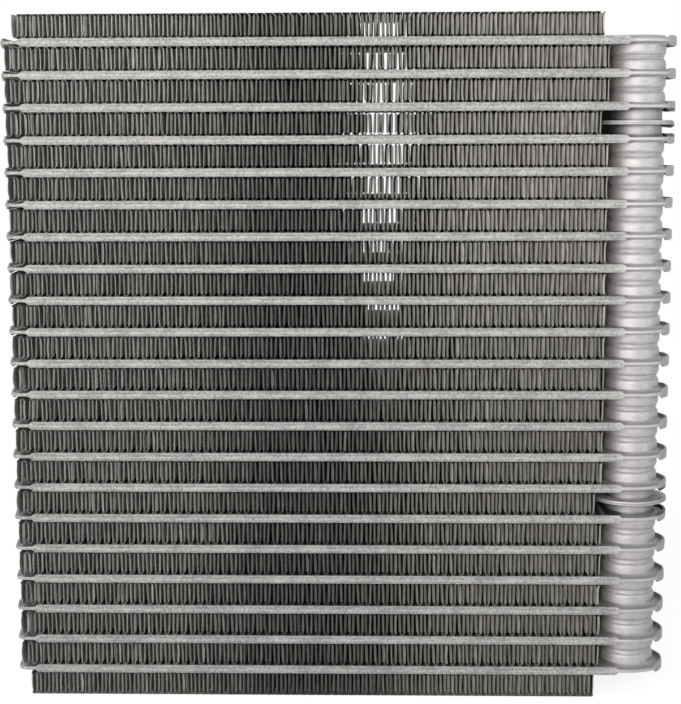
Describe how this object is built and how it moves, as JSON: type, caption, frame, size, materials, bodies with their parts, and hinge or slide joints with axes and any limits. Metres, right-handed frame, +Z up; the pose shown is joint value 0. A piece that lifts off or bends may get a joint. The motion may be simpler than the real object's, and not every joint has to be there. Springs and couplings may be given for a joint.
{
  "type": "evaporator core",
  "caption": "Plate-and-fin evaporator core for an air conditioner: flat drawn-cup tubes with folded fins between them, and ribbed tanks of stacked cups at one end.",
  "frame": {"origin": "middle of the outline's foot, under the folds of the lowest fin row", "axes": "+X towards the tank end, +Y along the air flow from the front face to the rear one, +Z up the stack"},
  "size_m": [0.2354, 0.058, 0.2434],
  "materials": {
    "plate_aluminium": "satin, as brazed, with fine speckle",
    "fin_sheet": "thin louvred sheet, dull grey",
    "divider_plate": "satin, as brazed"
  },
  "bodies": {
    "root": {"divider_lower": "divider_plate", "divider_upper": "divider_plate", "fin_01": "fin_sheet", "fin_02": "fin_sheet", "fin_03": "fin_sheet", "fin_04": "fin_sheet", "fin_05": "fin_sheet", "fin_06": "fin_sheet", "fin_07": "fin_sheet", "fin_08": "fin_sheet", "fin_09": "fin_sheet", "fin_10": "fin_sheet", "fin_11": "fin_sheet", "fin_12": "fin_sheet", "fin_13": "fin_sheet", "fin_14": "fin_sheet", "fin_15": "fin_sheet", "fin_16": "fin_sheet", "fin_17": "fin_sheet", "fin_18": "fin_sheet", "fin_19": "fin_sheet", "fin_20": "fin_sheet", "fin_21": "fin_sheet", "fin_22": "fin_sheet", "tube_01": "plate_aluminium", "tube_02": "plate_aluminium", "tube_03": "plate_aluminium", "tube_04": "plate_aluminium", "tube_05": "plate_aluminium", "tube_06": "plate_aluminium", "tube_07": "plate_aluminium", "tube_08": "plate_aluminium", "tube_09": "plate_aluminium", "tube_10": "plate_aluminium", "tube_11": "plate_aluminium", "tube_12": "plate_aluminium", "tube_13": "plate_aluminium", "tube_14": "plate_aluminium", "tube_15": "plate_aluminium", "tube_16": "plate_aluminium", "tube_17": "plate_aluminium", "tube_18": "plate_aluminium", "tube_19": "plate_aluminium", "tube_20": "plate_aluminium", "tube_21": "plate_aluminium"}
  },
  "joints": []
}
